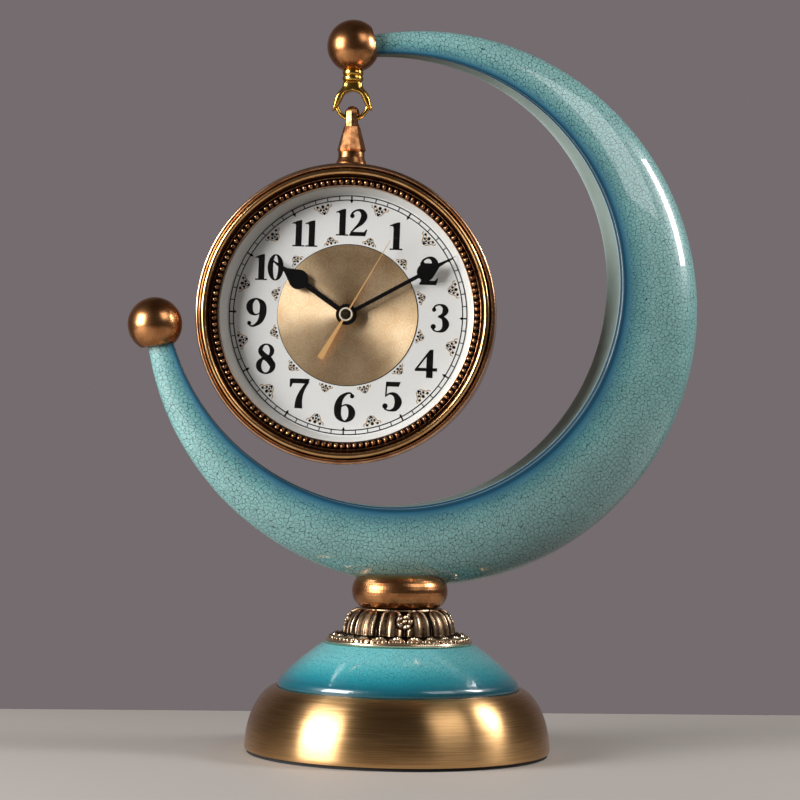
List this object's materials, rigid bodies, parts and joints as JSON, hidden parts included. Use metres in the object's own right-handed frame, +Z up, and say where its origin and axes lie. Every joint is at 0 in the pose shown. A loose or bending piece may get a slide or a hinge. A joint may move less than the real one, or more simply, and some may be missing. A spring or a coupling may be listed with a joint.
{
  "type": "desk clock",
  "caption": "Table clock with a round bronze-cased head hung by a swivel clasp from the upper horn of a glazed crescent, on a cast collar, a glazed plinth and a brushed brass base",
  "frame": {"origin": "centre of the foot pad's underside, on the base's axis", "axes": "+Z up; +X to the right seen from the front, along the crescent's plane; the dial faces -Y, turned 11 degrees about the hanger"},
  "size_m": [0.2823, 0.15, 0.3601],
  "materials": {
    "brushed_base_brass": "satin",
    "satin_bronze": "satin",
    "antique_cast_brass": "satin",
    "polished_hanger_brass": "polished",
    "copper_bronze": "satin",
    "crackled_celadon_glaze": "gloss",
    "turquoise_glaze": "gloss",
    "black_foot_rubber": "matte",
    "ballast_iron": "matte",
    "zinc_plated_steel": "satin",
    "clear_glass": "gloss",
    "white_dial_enamel": "satin",
    "white_flange_plastic": "satin",
    "etched_gold_disc": "satin",
    "black_hand_lacquer": "gloss",
    "rose_gold_hand": "satin",
    "black_cover_lacquer": "satin",
    "black_abs": "matte",
    "ivory_acetal": "satin",
    "machined_brass": "satin",
    "green_laminate": "satin",
    "enamelled_copper_wire": "satin",
    "bridge_aluminium": "satin",
    "cell_sleeve": "gloss"
  },
  "bodies": {
    "stand": {"foot_pad": "black_foot_rubber", "base_shell": "brushed_base_brass", "base_weight": "ballast_iron", "rod_nut": "zinc_plated_steel", "rod_washer": "zinc_plated_steel", "tie_rod": "zinc_plated_steel", "glazed_plinth": "turquoise_glaze", "cast_collar": "antique_cast_brass", "saddle_bead": "satin_bronze", "crescent": "crackled_celadon_glaze", "upper_ball": "satin_bronze", "lower_ball": "satin_bronze", "ball_studs": "zinc_plated_steel", "hanger_collar": "polished_hanger_brass"},
    "yoke": {"claw_yoke": "polished_hanger_brass", "swivel_cap": "polished_hanger_brass"},
    "ring": {"hanger_ring": "polished_hanger_brass"},
    "head": {"pendant_eye": "copper_bronze", "pendant": "copper_bronze", "pendant_screw": "zinc_plated_steel", "case_band": "copper_bronze", "front_bezel": "copper_bronze", "bead_ring": "copper_bronze", "glass": "clear_glass", "reflector_ring": "white_flange_plastic", "dial": "white_dial_enamel", "centre_disc": "etched_gold_disc", "dial_nut": "machined_brass", "dial_gasket": "black_foot_rubber", "rear_cover": "black_cover_lacquer", "cover_screws": "zinc_plated_steel", "movement_case": "black_abs", "movement_cover": "black_abs", "movement_bridge": "bridge_aluminium", "circuit_board": "green_laminate", "quartz_crystal": "zinc_plated_steel", "coil": "enamelled_copper_wire", "coil_core": "zinc_plated_steel", "stator": "zinc_plated_steel", "contact_plus": "zinc_plated_steel", "contact_minus": "zinc_plated_steel", "battery_cell": "cell_sleeve"},
    "hour_group": {"hour_hand": "black_hand_lacquer", "hour_wheel": "ivory_acetal"},
    "minute_group": {"minute_hand": "black_hand_lacquer", "cannon_pinion": "machined_brass"},
    "motion_wheel": {"minute_wheel": "ivory_acetal"},
    "setting_group": {"setting_stem": "ivory_acetal", "setting_knob": "ivory_acetal"},
    "seconds_group": {"second_hand": "rose_gold_hand", "seconds_wheel": "ivory_acetal"},
    "third_group": {"third_wheel": "ivory_acetal"},
    "centre_group": {"centre_wheel": "machined_brass", "clutch_spring": "machined_brass"},
    "intermediate_group": {"intermediate_wheel": "ivory_acetal"},
    "rotor_group": {"rotor": "ballast_iron", "rotor_pinion": "ivory_acetal"}
  },
  "joints": [
    {"name": "yoke_swivel", "type": "hinge", "parent": "stand", "child": "yoke", "pos_m": [-0.02811, 0, 0.33], "axis": [0, 0, 1], "continuous": true},
    {"name": "ring_turn", "type": "hinge", "parent": "yoke", "child": "ring", "pos_m": [-0.02811, 0, 0.31902], "axis": [0.1908, 0.9816, 0], "range_deg": [-3, 3]},
    {"name": "head_swing", "type": "hinge", "parent": "ring", "child": "head", "pos_m": [-0.02811, 0, 0.31112], "axis": [0.9816, -0.1908, 0], "range_deg": [-5, 5]},
    {"name": "minute_spin", "type": "hinge", "parent": "head", "child": "minute_group", "pos_m": [-0.0287, -0.00304, 0.21407], "axis": [0.1908, 0.9816, 0], "continuous": true},
    {"name": "hour_spin", "type": "hinge", "parent": "head", "child": "hour_group", "pos_m": [-0.0287, -0.00304, 0.21407], "axis": [0.1908, 0.9816, 0], "continuous": true},
    {"name": "minute_wheel_spin", "type": "hinge", "parent": "head", "child": "motion_wheel", "pos_m": [-0.01996, 0.00147, 0.22326], "axis": [0.1908, 0.9816, 0], "continuous": true},
    {"name": "setting_spin", "type": "hinge", "parent": "head", "child": "setting_group", "pos_m": [-0.00894, -0.00067, 0.22524], "axis": [0.1908, 0.9816, 0], "continuous": true},
    {"name": "seconds_spin", "type": "hinge", "parent": "head", "child": "seconds_group", "pos_m": [-0.0287, -0.00304, 0.21407], "axis": [0.1908, 0.9816, 0], "continuous": true},
    {"name": "intermediate_spin", "type": "hinge", "parent": "head", "child": "intermediate_group", "pos_m": [-0.0163, 0.00901, 0.21766], "axis": [0.1908, 0.9816, 0], "continuous": true},
    {"name": "rotor_spin", "type": "hinge", "parent": "head", "child": "rotor_group", "pos_m": [-0.01054, 0.00565, 0.21015], "axis": [0.1908, 0.9816, 0], "continuous": true},
    {"name": "third_spin", "type": "hinge", "parent": "head", "child": "third_group", "pos_m": [-0.03515, 0.00911, 0.22272], "axis": [0.1908, 0.9816, 0], "continuous": true},
    {"name": "centre_spin", "type": "hinge", "parent": "head", "child": "centre_group", "pos_m": [-0.02717, 0.00481, 0.21407], "axis": [0.1908, 0.9816, 0], "continuous": true}
  ],
  "couplings": [
    {"joint": "hour_spin", "follows": "minute_spin", "ratio": 0.083333},
    {"joint": "minute_wheel_spin", "follows": "minute_spin", "ratio": -0.33333},
    {"joint": "setting_spin", "follows": "minute_spin", "ratio": 1.25},
    {"joint": "intermediate_spin", "follows": "seconds_spin", "ratio": -5},
    {"joint": "rotor_spin", "follows": "seconds_spin", "ratio": 30},
    {"joint": "third_spin", "follows": "seconds_spin", "ratio": -0.13333},
    {"joint": "centre_spin", "follows": "seconds_spin", "ratio": 0.016667}
  ]
}
